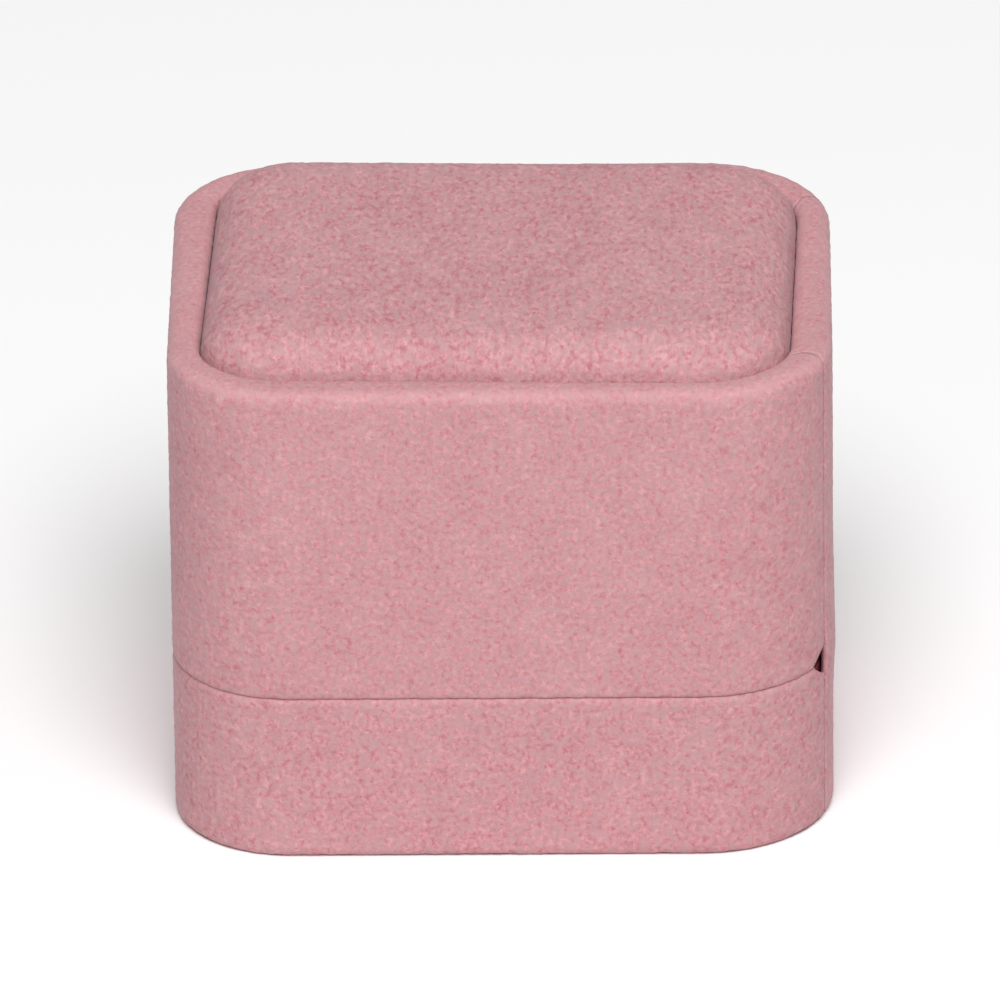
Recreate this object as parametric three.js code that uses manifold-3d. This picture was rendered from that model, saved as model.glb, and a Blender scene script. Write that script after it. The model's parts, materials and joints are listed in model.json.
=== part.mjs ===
// A velvet-covered ring box: a hinged lid with a padded panel set into its top, on a shallow
// base that holds a ring between two foam bars.
// Millimetres, +Z up. X is the box's width, +Y points to its hinge and -Y to its opening side.
// The origin is the middle of the closed box, on the surface that it stands on.
import * as THREE from "three";
import { mergeVertices } from "three/addons/utils/BufferGeometryUtils.js";
import Module from "manifold-3d";

const wasm = await Module();
wasm.setup();

// ---------- Driving dimensions ----------

// The closed box
const BOX_WIDTH = 50;
const BOX_DEPTH = 60;
const RIM_HEIGHT = 46.5; // top of the lid's rim
const PANEL_STAND = 3.5; // crown of the padded top panel above the rim
const SPLIT_HEIGHT = 16.1; // middle of the gap between lid and base
const SPLIT_GAP = 0.3;
const FRONT_CORNER_RADIUS = 10.8;
const HINGE_CORNER_RADIUS = 12;
const TOP_EDGE_RADIUS = 1.55;
const FOOT_EDGE_RADIUS = 1;
const LIP_EDGE_RADIUS = 0.5; // the velvet's fold along the split

// Layers of the walls
const VELVET = 0.6;
const GLUE_GAP = 0.1;
const SHELL_WALL = 1.8;
const FIT_GAP = 0.3; // round loose pieces
const FOOT_PAD_RELIEF = 0.3; // how far the foot pad stands out below the velvet's fold
const LID_FOLD_DEPTH = 4; // velvet turned in past the lid's lower lip
const BASE_FOLD_DEPTH = 5; // velvet turned in past the base's lip

// Padded panel in the top of the lid
const RIM_DEPTH = 2.6; // rim top to panel floor
const LID_PLATE = 1.6;
const PANEL_GAP = 0.4;
const PANEL_BOARD = 1.2;
const PANEL_CROWN_WIDTH = 6; // how far in the panel's shoulder reaches
const PANEL_CROWN_RISE = 3.4;

// Lining of the lid
const LINING = 0.9;
const LINING_LIFT = 3.2; // split to the lining's lower edge
const CEILING_BOARD = 1.1;
const CEILING_FOAM = 1.4;
const CEILING_SATIN = 0.5;
const CEILING_EDGE_RADIUS = 0.8;

// Seams and relief groove at the hinge side
const SEAM_ANGLE = THREE.MathUtils.degToRad(20.3); // round the hinge corner from the flat back
const SEAM_GAP = 0.3;
const GROOVE_HALF_ANGLE = THREE.MathUtils.degToRad(54);

// Hinge
const KNUCKLES = 5; // odd: the base has the first, the middle and the last
const KNUCKLE_LENGTH = 5.04;
const KNUCKLE_GAP = 0.2;
const BARREL_RADIUS = 1.1;
const PIN_RADIUS = 0.65;
const PIN_CLEARANCE = 0.05;
const PIN_HEAD_RADIUS = 1;
const PIN_HEAD = 0.3;
const LEAF = 0.4;
const LEAF_LENGTH = 9; // hinge axis to the leaf's far edge
const LEAF_CUTBACK = 1.3; // leaf edge to axis, opposite the other leaf's knuckles
const RIVET_RADIUS = 0.6;
const RIVET_HEAD_RADIUS = 1.1;
const RIVET_HEAD = 0.3;
const RIVET_REACH = 6; // hinge axis to the rivets
const RIVET_SPACING = 18;
const SPRING_WIDTH = 4;
const SPRING = 0.3;
const SPRING_BOW = 1.5; // how far the spring bows in front of the leaves
const SPRING_HALF_SPAN = 2.6;
const SPRING_TAB = 1.5;

// Insert in the base
const TRAY = 0.9;
const DECK_DROP = 0.65; // lip of the base to the top of the deck
const DECK_BOARD = 1.4;
const BAR_DEPTH = 15; // each ring bar, front to back
const BAR_LENGTH = 35.8;
const BAR_RISE = 4.3; // deck to the crown of the bars
const RING_SLOT = 0.7;

// Fineness of the round shapes
const CORNER_STEPS = 4; // half the flats on a quarter turn
const EDGE_STEPS = 3;
const ROUND_STEPS = 20;

// ---------- Levels and places that follow ----------

const MARGIN = 1; // how far a cut runs past what it cuts
const FAR = BOX_WIDTH + BOX_DEPTH;

const SHELL_OUT = VELVET + GLUE_GAP;
const SHELL_IN = SHELL_OUT + SHELL_WALL;
const FOLD_OUT = SHELL_IN + GLUE_GAP;
const FOLD_IN = FOLD_OUT + VELVET;
const LOOSE = FOLD_IN + FIT_GAP;

const BASE_LIP = SPLIT_HEIGHT - SPLIT_GAP / 2;
const LID_LIP = SPLIT_HEIGHT + SPLIT_GAP / 2;
const FOLD_BOTTOM = FOOT_PAD_RELIEF;
const SHELL_BOTTOM = FOLD_BOTTOM + VELVET + GLUE_GAP;
const SHELL_FLOOR = SHELL_BOTTOM + SHELL_WALL;
const RECESS_FLOOR = RIM_HEIGHT - RIM_DEPTH;
const LID_CEILING = RECESS_FLOOR - LID_PLATE;
const OVERALL_HEIGHT = RIM_HEIGHT + PANEL_STAND;

const BACK = BOX_DEPTH / 2;
const SHELL_BACK = BACK - SHELL_OUT;
const LEAF_BACK = BACK - FOLD_OUT;
const LEAF_FRONT = LEAF_BACK - LEAF;
const AXIS_Y = SHELL_BACK - GLUE_GAP - BARREL_RADIUS;
const HINGE_LENGTH = KNUCKLES * KNUCKLE_LENGTH + (KNUCKLES - 1) * KNUCKLE_GAP;
const NOTCH_HALF_LENGTH = HINGE_LENGTH / 2 + PIN_HEAD + 2 * FIT_GAP;
const NOTCH_HALF_HEIGHT = BARREL_RADIUS + FIT_GAP + GLUE_GAP;
const GROOVE_HALF_HEIGHT = (BACK - AXIS_Y) * Math.tan(GROOVE_HALF_ANGLE);
const SEAM_X = BOX_WIDTH / 2 - HINGE_CORNER_RADIUS * (1 - Math.sin(SEAM_ANGLE));

// ---------- Solids ----------

// A closed geometry as a solid, its shared vertices merged.
function solidOf(geometry) {
  const plain = geometry.clone();
  plain.deleteAttribute("normal");
  plain.deleteAttribute("uv");
  const merged = mergeVertices(plain, 1e-4);
  const mesh = new wasm.Mesh({
    numProp: 3,
    vertProperties: merged.attributes.position.array,
    triVerts: new Uint32Array(merged.index.array),
  });
  return new wasm.Manifold(mesh);
}

// The box's plan outline, moved in by inset all round.
function outline(inset) {
  const x = BOX_WIDTH / 2 - inset;
  const y = BOX_DEPTH / 2 - inset;
  const front = FRONT_CORNER_RADIUS - inset;
  const back = HINGE_CORNER_RADIUS - inset;
  const quarter = Math.PI / 2;
  const shape = new THREE.Shape();
  shape.absarc(x - front, front - y, front, -quarter, 0);
  shape.absarc(x - back, y - back, back, 0, quarter);
  shape.absarc(back - x, y - back, back, quarter, 2 * quarter);
  shape.absarc(front - x, front - y, front, 2 * quarter, 3 * quarter);
  shape.closePath();
  return shape;
}

// A flat-ended slab of a plan shape between two heights.
function slab(shape, low, high) {
  const settings = { depth: high - low, bevelEnabled: false, curveSegments: CORNER_STEPS };
  return solidOf(new THREE.ExtrudeGeometry(shape, settings).translate(0, 0, low));
}

// A slab of the box's outline whose two ends curve in by reach over a height of rise.
function curvedSlab(inset, low, high, reach, rise) {
  const settings = {
    depth: high - low - 2 * rise,
    bevelSize: reach,
    bevelOffset: -reach,
    bevelThickness: rise,
    bevelSegments: EDGE_STEPS,
    curveSegments: CORNER_STEPS,
  };
  const geometry = new THREE.ExtrudeGeometry(outline(inset), settings);
  return solidOf(geometry.translate(0, 0, low + rise));
}

// A block of the box's outline between two heights, with its top or bottom edge rounded.
function block(inset, low, high, { top = 0, bottom = 0 } = {}) {
  const upper = top
    ? curvedSlab(inset, low - 4 * top, high, top, top)
    : slab(outline(inset), low - MARGIN, high);
  const lower = bottom
    ? curvedSlab(inset, low, high + 4 * bottom, bottom, bottom)
    : slab(outline(inset), low, high + MARGIN);
  return upper.intersect(lower);
}

// A block whose top is a soft crown.
function crownedBlock(inset, low, high, reach, rise) {
  const whole = curvedSlab(inset, low - 2 * rise, high, reach, rise);
  return whole.intersect(slab(outline(inset), low, high + MARGIN));
}

// A wall that follows the box's outline, between two insets.
function wall(outer, inner, low, high) {
  return block(outer, low, high).subtract(block(inner, low - MARGIN, high + MARGIN));
}

function brick([x0, x1], [y0, y1], [z0, z1]) {
  const geometry = new THREE.BoxGeometry(x1 - x0, y1 - y0, z1 - z0);
  return solidOf(geometry.translate((x0 + x1) / 2, (y0 + y1) / 2, (z0 + z1) / 2));
}

// A profile drawn in the YZ plane, run along X.
function alongX(profile, x0, x1, steps = CORNER_STEPS) {
  const settings = { depth: x1 - x0, bevelEnabled: false, curveSegments: steps };
  const turn = new THREE.Matrix4().makeBasis(
    new THREE.Vector3(0, 1, 0),
    new THREE.Vector3(0, 0, 1),
    new THREE.Vector3(1, 0, 0),
  );
  const geometry = new THREE.ExtrudeGeometry(profile, settings).translate(0, 0, x0);
  return solidOf(geometry.applyMatrix4(turn));
}

// A round rod on the hinge axis.
function axisRod(radius, x0, x1) {
  const geometry = new THREE.CylinderGeometry(radius, radius, x1 - x0, ROUND_STEPS);
  geometry.rotateZ(-Math.PI / 2);
  return solidOf(geometry.translate((x0 + x1) / 2, AXIS_Y, SPLIT_HEIGHT));
}

// A round rod along Y.
function crossRod(radius, x, z, y0, y1) {
  const geometry = new THREE.CylinderGeometry(radius, radius, y1 - y0, ROUND_STEPS);
  return solidOf(geometry.translate(x, (y0 + y1) / 2, z));
}

// ---------- Cuts shared by several pieces ----------

// The V groove that lets the lid swing back: its bottom is the hinge axis.
function reliefGroove() {
  const out = BACK + MARGIN;
  const half = (out - AXIS_Y) * Math.tan(GROOVE_HALF_ANGLE);
  const profile = new THREE.Shape();
  profile.moveTo(AXIS_Y, SPLIT_HEIGHT);
  profile.lineTo(out, SPLIT_HEIGHT - half);
  profile.lineTo(out, SPLIT_HEIGHT + half);
  profile.closePath();
  return alongX(profile, -BOX_WIDTH / 2 - MARGIN, BOX_WIDTH / 2 + MARGIN);
}

// Room for the hinge's barrel in the back wall.
function barrelNotch() {
  return brick(
    [-NOTCH_HALF_LENGTH, NOTCH_HALF_LENGTH],
    [LEAF_FRONT - MARGIN, BACK - VELVET],
    [SPLIT_HEIGHT - NOTCH_HALF_HEIGHT, SPLIT_HEIGHT + NOTCH_HALF_HEIGHT],
  );
}

// The stretch of the hinge side that the spine velvet covers, between the two seams.
function spineZone(gap) {
  const half = SEAM_X + gap;
  return brick([-half, half], [0, FAR], [-FAR, FAR]);
}

// Where the rivets go through the back wall, above the axis (side = 1) or below it (side = -1).
function rivetPlaces(side) {
  const z = SPLIT_HEIGHT + side * RIVET_REACH;
  return [-RIVET_SPACING / 2, RIVET_SPACING / 2].map((x) => ({ x, z }));
}

function drillRivetHoles(solid, side) {
  const radius = RIVET_RADIUS + PIN_CLEARANCE;
  for (const { x, z } of rivetPlaces(side))
    solid = solid.subtract(crossRod(radius, x, z, LEAF_FRONT - MARGIN, BACK + MARGIN));
  return solid;
}

// ---------- Shells ----------

function baseShell() {
  const top = BASE_LIP - SHELL_OUT;
  const edge = FOOT_EDGE_RADIUS - SHELL_OUT;
  const solid = block(SHELL_OUT, SHELL_BOTTOM, top, { bottom: edge })
    .subtract(block(SHELL_IN, SHELL_FLOOR, top + MARGIN))
    .subtract(reliefGroove())
    .subtract(barrelNotch());
  return drillRivetHoles(solid, -1);
}

function lidShell() {
  const low = LID_LIP + SHELL_OUT;
  const high = RIM_HEIGHT - SHELL_OUT;
  const solid = block(SHELL_OUT, low, high, { top: TOP_EDGE_RADIUS - SHELL_OUT })
    .subtract(block(SHELL_IN, RECESS_FLOOR, high + MARGIN))
    .subtract(block(SHELL_IN, low - MARGIN, LID_CEILING))
    .subtract(reliefGroove())
    .subtract(barrelNotch());
  return drillRivetHoles(solid, 1);
}

// ---------- Velvet ----------

// Velvet over the lid's outside, turned over its rim and its lip.
function lidWrap() {
  const over = block(0, LID_LIP, RIM_HEIGHT, { top: TOP_EDGE_RADIUS, bottom: LIP_EDGE_RADIUS });
  const under = block(VELVET, LID_LIP + VELVET, RIM_HEIGHT - VELVET, { top: TOP_EDGE_RADIUS - VELVET });
  const open = block(FOLD_IN, LID_LIP - MARGIN, RIM_HEIGHT + MARGIN);
  const rimFold = wall(FOLD_OUT, FOLD_IN, RECESS_FLOOR + GLUE_GAP, RIM_HEIGHT - VELVET / 2);
  return over.subtract(under).subtract(open).add(rimFold).subtract(reliefGroove());
}

function lidSideVelvet() {
  const lipFold = wall(FOLD_OUT, FOLD_IN, LID_LIP + VELVET / 2, LID_LIP + LID_FOLD_DEPTH);
  return lidWrap().add(lipFold).subtract(spineZone(SEAM_GAP / 2));
}

function lidSpineVelvet() {
  const low = SPLIT_HEIGHT + GROOVE_HALF_HEIGHT + SEAM_GAP / 2;
  const stretch = brick([-FAR, FAR], [0, FAR], [low, FAR]);
  return lidWrap().intersect(spineZone(-SEAM_GAP / 2)).intersect(stretch);
}

// Velvet over the base's outside, turned over its lip and under its foot.
function baseWrap() {
  const edges = { top: LIP_EDGE_RADIUS, bottom: FOOT_EDGE_RADIUS };
  const over = block(0, FOLD_BOTTOM, BASE_LIP, edges);
  const under = block(VELVET, FOLD_BOTTOM + VELVET, BASE_LIP - VELVET, { bottom: FOOT_EDGE_RADIUS - VELVET });
  const open = block(FOLD_IN, FOLD_BOTTOM - MARGIN, BASE_LIP + MARGIN);
  return over.subtract(under).subtract(open).subtract(reliefGroove());
}

function baseSideVelvet() {
  const lipFold = wall(FOLD_OUT, FOLD_IN, BASE_LIP - BASE_FOLD_DEPTH, BASE_LIP - VELVET / 2);
  return baseWrap().add(lipFold).subtract(spineZone(SEAM_GAP / 2));
}

function baseSpineVelvet() {
  const high = SPLIT_HEIGHT - GROOVE_HALF_HEIGHT - SEAM_GAP / 2;
  const stretch = brick([-FAR, FAR], [0, FAR], [-FAR, high]);
  return baseWrap().intersect(spineZone(-SEAM_GAP / 2)).intersect(stretch);
}

// The free strip of spine velvet across the groove, which folds as the lid opens.
function spineFold() {
  const half = GROOVE_HALF_HEIGHT - SEAM_GAP / 2;
  return wall(0, VELVET, SPLIT_HEIGHT - half, SPLIT_HEIGHT + half).intersect(
    spineZone(-SEAM_GAP / 2),
  );
}

function footPad() {
  return block(LOOSE, 0, SHELL_BOTTOM - GLUE_GAP);
}

// ---------- Padded top panel ----------

const PANEL_BOTTOM = RECESS_FLOOR + GLUE_GAP;
const PANEL_EDGE = FOLD_IN + PANEL_GAP;

// The panel's outer form, moved in by inset on every side but its bottom.
function panelForm(inset, low) {
  const reach = PANEL_CROWN_WIDTH - inset;
  const rise = PANEL_CROWN_RISE - inset;
  return crownedBlock(PANEL_EDGE + inset, low, OVERALL_HEIGHT - inset, reach, rise);
}

function topPanelVelvet() {
  return panelForm(0, PANEL_BOTTOM).subtract(panelForm(VELVET, PANEL_BOTTOM - MARGIN));
}

function topPanelFoam() {
  return panelForm(SHELL_OUT, PANEL_BOTTOM + PANEL_BOARD + GLUE_GAP);
}

function topPanelBoard() {
  return block(PANEL_EDGE + SHELL_OUT, PANEL_BOTTOM, PANEL_BOTTOM + PANEL_BOARD);
}

// ---------- Lid lining ----------

const CEILING_BOARD_LOW = LID_CEILING - GLUE_GAP - CEILING_BOARD;
const CEILING_PAD_TOP = CEILING_BOARD_LOW - GLUE_GAP;
const CEILING_FOAM_LOW = CEILING_PAD_TOP - CEILING_FOAM;
const CEILING_EDGE = LOOSE + LINING + 2 * GLUE_GAP;
const CEILING_LOW = CEILING_FOAM_LOW - GLUE_GAP - CEILING_SATIN;

function lidSideLining() {
  return wall(LOOSE, LOOSE + LINING, SPLIT_HEIGHT + LINING_LIFT, CEILING_PAD_TOP);
}

function lidCeilingBoard() {
  return block(FOLD_OUT, CEILING_BOARD_LOW, CEILING_BOARD_LOW + CEILING_BOARD);
}

function lidCeilingFoam() {
  return block(CEILING_EDGE + CEILING_SATIN + GLUE_GAP, CEILING_FOAM_LOW, CEILING_PAD_TOP);
}

function lidCeilingSatin() {
  const over = block(CEILING_EDGE, CEILING_LOW, CEILING_PAD_TOP, { bottom: CEILING_EDGE_RADIUS });
  const under = block(
    CEILING_EDGE + CEILING_SATIN,
    CEILING_LOW + CEILING_SATIN,
    CEILING_PAD_TOP + MARGIN,
  );
  return over.subtract(under);
}

// ---------- Hinge ----------

const KNUCKLE_PITCH = KNUCKLE_LENGTH + KNUCKLE_GAP;

// Where knuckle n starts and ends along the axis.
function knuckleSpan(n) {
  const start = -HINGE_LENGTH / 2 + n * KNUCKLE_PITCH;
  return [start, start + KNUCKLE_LENGTH];
}

// One leaf with its knuckles, above the axis (side = 1) or below it (side = -1).
function hingeLeaf(side) {
  const heights = (near, far) =>
    [SPLIT_HEIGHT + side * near, SPLIT_HEIGHT + side * far].sort((a, b) => a - b);
  const across = [-HINGE_LENGTH / 2, HINGE_LENGTH / 2];
  let leaf = brick(across, [LEAF_FRONT, LEAF_BACK], heights(LEAF_CUTBACK, LEAF_LENGTH));
  const first = side > 0 ? 1 : 0;
  for (let n = first; n < KNUCKLES; n += 2) {
    const span = knuckleSpan(n);
    leaf = leaf.add(brick(span, [LEAF_FRONT, LEAF_BACK], heights(0, LEAF_LENGTH)));
    leaf = leaf.add(axisRod(BARREL_RADIUS, ...span));
  }
  const bore = axisRod(PIN_RADIUS + PIN_CLEARANCE, -HINGE_LENGTH, HINGE_LENGTH);
  return drillRivetHoles(leaf.subtract(bore), side);
}

// The pin, headed over at both ends.
function hingePin() {
  const end = HINGE_LENGTH / 2 + PIN_CLEARANCE;
  return axisRod(PIN_RADIUS, -end - PIN_HEAD / 2, end + PIN_HEAD / 2)
    .add(axisRod(PIN_HEAD_RADIUS, end, end + PIN_HEAD))
    .add(axisRod(PIN_HEAD_RADIUS, -end - PIN_HEAD, -end));
}

function rivet({ x, z }) {
  const seat = LEAF_FRONT - PIN_CLEARANCE;
  return crossRod(RIVET_RADIUS, x, z, seat - RIVET_HEAD / 2, SHELL_BACK - GLUE_GAP).add(
    crossRod(RIVET_HEAD_RADIUS, x, z, seat - RIVET_HEAD, seat),
  );
}

// A bowed strip in front of the pin that pulls the lid shut, and open once it is past the middle.
function snapSpring() {
  const seat = LEAF_FRONT - PIN_CLEARANCE;
  const span = SPRING_HALF_SPAN;
  const radius = (span ** 2 + SPRING_BOW ** 2) / (2 * SPRING_BOW);
  const middle = seat - SPRING / 2 - SPRING_BOW + radius;
  const reach = Math.asin(span / radius);
  const bow = new THREE.Shape();
  bow.absarc(middle, SPLIT_HEIGHT, radius + SPRING / 2, Math.PI - reach, Math.PI + reach);
  bow.absarc(middle, SPLIT_HEIGHT, radius - SPRING / 2, Math.PI + reach, Math.PI - reach, true);
  bow.closePath();
  const across = [-SPRING_WIDTH / 2, SPRING_WIDTH / 2];
  const tab = (side) => {
    const near = SPLIT_HEIGHT + side * (span - SPRING / 2);
    const far = SPLIT_HEIGHT + side * (span + SPRING_TAB);
    return brick(across, [seat - SPRING, seat], [Math.min(near, far), Math.max(near, far)]);
  };
  const front = brick(across, [seat - FAR, seat], [-FAR, FAR]);
  return alongX(bow, ...across).intersect(front).add(tab(1)).add(tab(-1));
}

// ---------- Insert in the base ----------

const TRAY_LOW = SHELL_FLOOR + GLUE_GAP;
const TRAY_FLOOR = TRAY_LOW + TRAY;
const DECK_TOP = BASE_LIP - DECK_DROP;
const DECK_BOARD_TOP = DECK_TOP - VELVET - GLUE_GAP;
const DECK_LOW = DECK_BOARD_TOP - DECK_BOARD;
const WINDOW_HALF_X = BAR_LENGTH / 2 + FIT_GAP;
const WINDOW_HALF_Y = RING_SLOT / 2 + BAR_DEPTH + FIT_GAP;

// A plug the size of the window in the deck, grown by more on each side.
function deckWindow(more) {
  const x = WINDOW_HALF_X + more;
  const y = WINDOW_HALF_Y + more;
  return brick([-x, x], [-y, y], [DECK_LOW - MARGIN, DECK_TOP + MARGIN]);
}

// Room in the deck for the spring's bow.
function springNotch(more) {
  const half = SPRING_WIDTH / 2 + FIT_GAP + more;
  const front = LEAF_FRONT - SPRING_BOW - 2 * SPRING - FIT_GAP - more;
  return brick([-half, half], [front, FAR], [DECK_LOW - MARGIN, DECK_TOP + MARGIN]);
}

function insertTray() {
  const high = DECK_LOW - GLUE_GAP;
  return block(LOOSE, TRAY_LOW, high)
    .subtract(block(LOOSE + TRAY, TRAY_FLOOR, high + MARGIN))
    .subtract(brick([-SPRING_WIDTH, SPRING_WIDTH], [LEAF_FRONT - BAR_RISE, FAR], [high - BAR_RISE, FAR]));
}

function deckBoard() {
  return block(LOOSE, DECK_LOW, DECK_BOARD_TOP)
    .subtract(deckWindow(VELVET + GLUE_GAP))
    .subtract(springNotch(VELVET + GLUE_GAP));
}

// Velvet over the deck, turned down round the window and the spring's notch.
function deckVelvet() {
  const over = block(LOOSE, DECK_LOW, DECK_TOP);
  const under = block(LOOSE - MARGIN, DECK_LOW - MARGIN, DECK_TOP - VELVET)
    .subtract(deckWindow(VELVET))
    .subtract(springNotch(VELVET));
  return over.subtract(under).subtract(deckWindow(0)).subtract(springNotch(0));
}

// A ring bar's form: flat sides, a round top, running across the box. side is 1 behind the
// ring slot and -1 in front of it. inset moves all but its bottom in.
function barForm(side, inset, low) {
  const radius = BAR_DEPTH / 2 - inset;
  const middle = (side * (RING_SLOT + BAR_DEPTH)) / 2;
  const spring = DECK_TOP + BAR_RISE - BAR_DEPTH / 2;
  const profile = new THREE.Shape();
  profile.moveTo(middle - radius, low);
  profile.lineTo(middle + radius, low);
  profile.absarc(middle, spring, radius, 0, Math.PI);
  profile.closePath();
  return alongX(profile, inset - BAR_LENGTH / 2, BAR_LENGTH / 2 - inset, 2 * CORNER_STEPS);
}

const BAR_LOW = TRAY_FLOOR + GLUE_GAP;

function ringBarVelvet(side) {
  return barForm(side, 0, BAR_LOW).subtract(barForm(side, VELVET, BAR_LOW - MARGIN));
}

function ringBarFoam(side) {
  return barForm(side, SHELL_OUT, BAR_LOW);
}

// ---------- Finishes ----------

function finish(color, roughness, metalness = 0) {
  return new THREE.MeshStandardMaterial({ color, roughness, metalness, flatShading: true });
}

const velvet = () => finish(0xcb8d94, 0.95);
const satin = () => finish(0xe3bcc0, 0.5);
const foam = () => finish(0xf0ece2, 0.95);
const card = () => finish(0x9a938a, 0.85);
const plastic = () => finish(0x4a2e33, 0.5);
const steel = () => finish(0xc8cacd, 0.3, 1);

// ---------- Assembly ----------

function piece(name, solid, material) {
  const { numProp, vertProperties, triVerts } = solid.getMesh();
  const positions = new THREE.BufferAttribute(new Float32Array(vertProperties), numProp);
  const geometry = new THREE.BufferGeometry();
  geometry.setAttribute("position", positions);
  geometry.setIndex(new THREE.BufferAttribute(new Uint32Array(triVerts), 1));
  geometry.computeVertexNormals();
  const mesh = new THREE.Mesh(geometry, material);
  mesh.name = name;
  return mesh;
}

const base = new THREE.Group();
base.add(
  piece("base_shell", baseShell(), plastic()),
  piece("base_side_velvet", baseSideVelvet(), velvet()),
  piece("base_spine_velvet", baseSpineVelvet(), velvet()),
  piece("foot_pad", footPad(), card()),
  piece("spine_fold", spineFold(), velvet()),
  piece("insert_tray", insertTray(), card()),
  piece("deck_board", deckBoard(), card()),
  piece("deck_velvet", deckVelvet(), velvet()),
  piece("ring_bar_foam_front", ringBarFoam(-1), foam()),
  piece("ring_bar_velvet_front", ringBarVelvet(-1), velvet()),
  piece("ring_bar_foam_rear", ringBarFoam(1), foam()),
  piece("ring_bar_velvet_rear", ringBarVelvet(1), velvet()),
  piece("hinge_leaf_base", hingeLeaf(-1), steel()),
  piece("hinge_pin", hingePin(), steel()),
  piece("snap_spring", snapSpring(), steel()),
);

const lid = new THREE.Group();
lid.add(
  piece("lid_shell", lidShell(), plastic()),
  piece("lid_side_velvet", lidSideVelvet(), velvet()),
  piece("lid_spine_velvet", lidSpineVelvet(), velvet()),
  piece("top_panel_board", topPanelBoard(), card()),
  piece("top_panel_foam", topPanelFoam(), foam()),
  piece("top_panel_velvet", topPanelVelvet(), velvet()),
  piece("lid_side_lining", lidSideLining(), satin()),
  piece("lid_ceiling_board", lidCeilingBoard(), card()),
  piece("lid_ceiling_foam", lidCeilingFoam(), foam()),
  piece("lid_ceiling_satin", lidCeilingSatin(), satin()),
  piece("hinge_leaf_lid", hingeLeaf(1), steel()),
);

const SIDES = ["left", "right"];
rivetPlaces(-1).forEach((at, n) => base.add(piece(`rivet_base_${SIDES[n]}`, rivet(at), steel())));
rivetPlaces(1).forEach((at, n) => lid.add(piece(`rivet_lid_${SIDES[n]}`, rivet(at), steel())));

const ringBox = new THREE.Group();
ringBox.add(base, lid);
export default ringBox;
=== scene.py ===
"""The velvet ring box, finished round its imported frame.

Metres, in the frame's own axes: +Z up, +Y towards the hinge, X across the box. The closed box
stands with its middle over the origin. Velvet, satin and pads are made here; the moulded shells,
boards and hinge are the frame's own nodes with a finish.
"""

import json
from math import asin, ceil, cos, pi, radians, sin, tan

import bmesh
import bpy
from mathutils import Matrix, Vector, noise
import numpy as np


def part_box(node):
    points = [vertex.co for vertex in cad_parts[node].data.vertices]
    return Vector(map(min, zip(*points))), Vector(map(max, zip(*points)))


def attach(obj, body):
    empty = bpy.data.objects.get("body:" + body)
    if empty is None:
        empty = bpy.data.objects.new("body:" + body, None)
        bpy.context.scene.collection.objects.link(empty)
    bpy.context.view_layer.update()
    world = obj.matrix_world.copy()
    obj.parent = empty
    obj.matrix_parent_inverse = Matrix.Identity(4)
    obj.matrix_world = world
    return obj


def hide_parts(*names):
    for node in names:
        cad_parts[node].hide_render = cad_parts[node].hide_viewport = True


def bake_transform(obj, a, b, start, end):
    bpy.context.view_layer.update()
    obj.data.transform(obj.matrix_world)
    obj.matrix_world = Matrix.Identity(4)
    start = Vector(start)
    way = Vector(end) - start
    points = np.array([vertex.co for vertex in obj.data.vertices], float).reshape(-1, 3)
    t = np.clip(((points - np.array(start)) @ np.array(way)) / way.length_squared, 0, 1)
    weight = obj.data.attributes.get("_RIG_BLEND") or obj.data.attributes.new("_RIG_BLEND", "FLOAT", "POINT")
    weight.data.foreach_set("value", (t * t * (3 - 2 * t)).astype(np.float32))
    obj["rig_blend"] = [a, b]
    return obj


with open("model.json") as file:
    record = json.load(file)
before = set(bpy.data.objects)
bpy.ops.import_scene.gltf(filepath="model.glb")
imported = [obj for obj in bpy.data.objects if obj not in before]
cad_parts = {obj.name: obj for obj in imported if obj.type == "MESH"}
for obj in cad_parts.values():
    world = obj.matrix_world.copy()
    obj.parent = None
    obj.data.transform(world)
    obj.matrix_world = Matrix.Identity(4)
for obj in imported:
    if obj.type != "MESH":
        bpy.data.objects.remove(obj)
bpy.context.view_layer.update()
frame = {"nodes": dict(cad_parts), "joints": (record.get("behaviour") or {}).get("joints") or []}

# ---------- Sizes, from the frame ----------

MM = 0.001
UP = Vector((0, 0, 1))

side_low, side_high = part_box("lid_side_velvet")
base_low, base_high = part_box("base_side_velvet")
spine_low, spine_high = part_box("lid_spine_velvet")
panel_low, panel_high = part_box("top_panel_velvet")
HINGE = Vector(frame["joints"][0]["pos_m"])

HALF_WIDTH = side_high.x
FRONT = side_low.y
BACK = spine_high.y
RIM = side_high.z
SPLIT = (side_low.z + base_high.z) / 2
FOOT = base_low.z
PANEL_SEAT = panel_low.z

FRONT_CORNER = 10.8 * MM
HINGE_CORNER = 12 * MM
RIM_WIDTH = 3.35 * MM  # outer face to the inside of the folded velvet
RIM_OUTER_EDGE = 1.35 * MM
RIM_INNER_EDGE = 1.0 * MM
RECESS_TURN = 0.3 * MM
RECESS_HEM = 1.0 * MM  # velvet turned in on the recess floor, under the panel
LID_LIP_EDGE = 0.35 * MM
BASE_LIP_EDGE = 0.9 * MM
LIP_INNER_EDGE = 0.5 * MM
LIP_MESH = 0.15 * MM  # how far the pile of each lip reaches past the middle of the split
FOOT_EDGE = 0.7 * MM
FOOT_PILE = 0.25 * MM  # the pile brushes the table under the wrapped edge
LID_FOLD = 3.2 * MM
BASE_FOLD = 4.2 * MM
CLOTH = 0.52 * MM
SEAM_GAP = 0.3 * MM
SEAM_X = spine_high.x + SEAM_GAP / 2
GROOVE_HALF_ANGLE = radians(54)
WEAVE = 0.42 * MM  # spacing of the velvet meshes
PILE = 0.055 * MM  # how far tufts stand out of the velvet
PILE_SIZE = 0.75 * MM
SEAM_ROLL = 0.45 * MM
SEAM_DEPTH = 0.14 * MM
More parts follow.
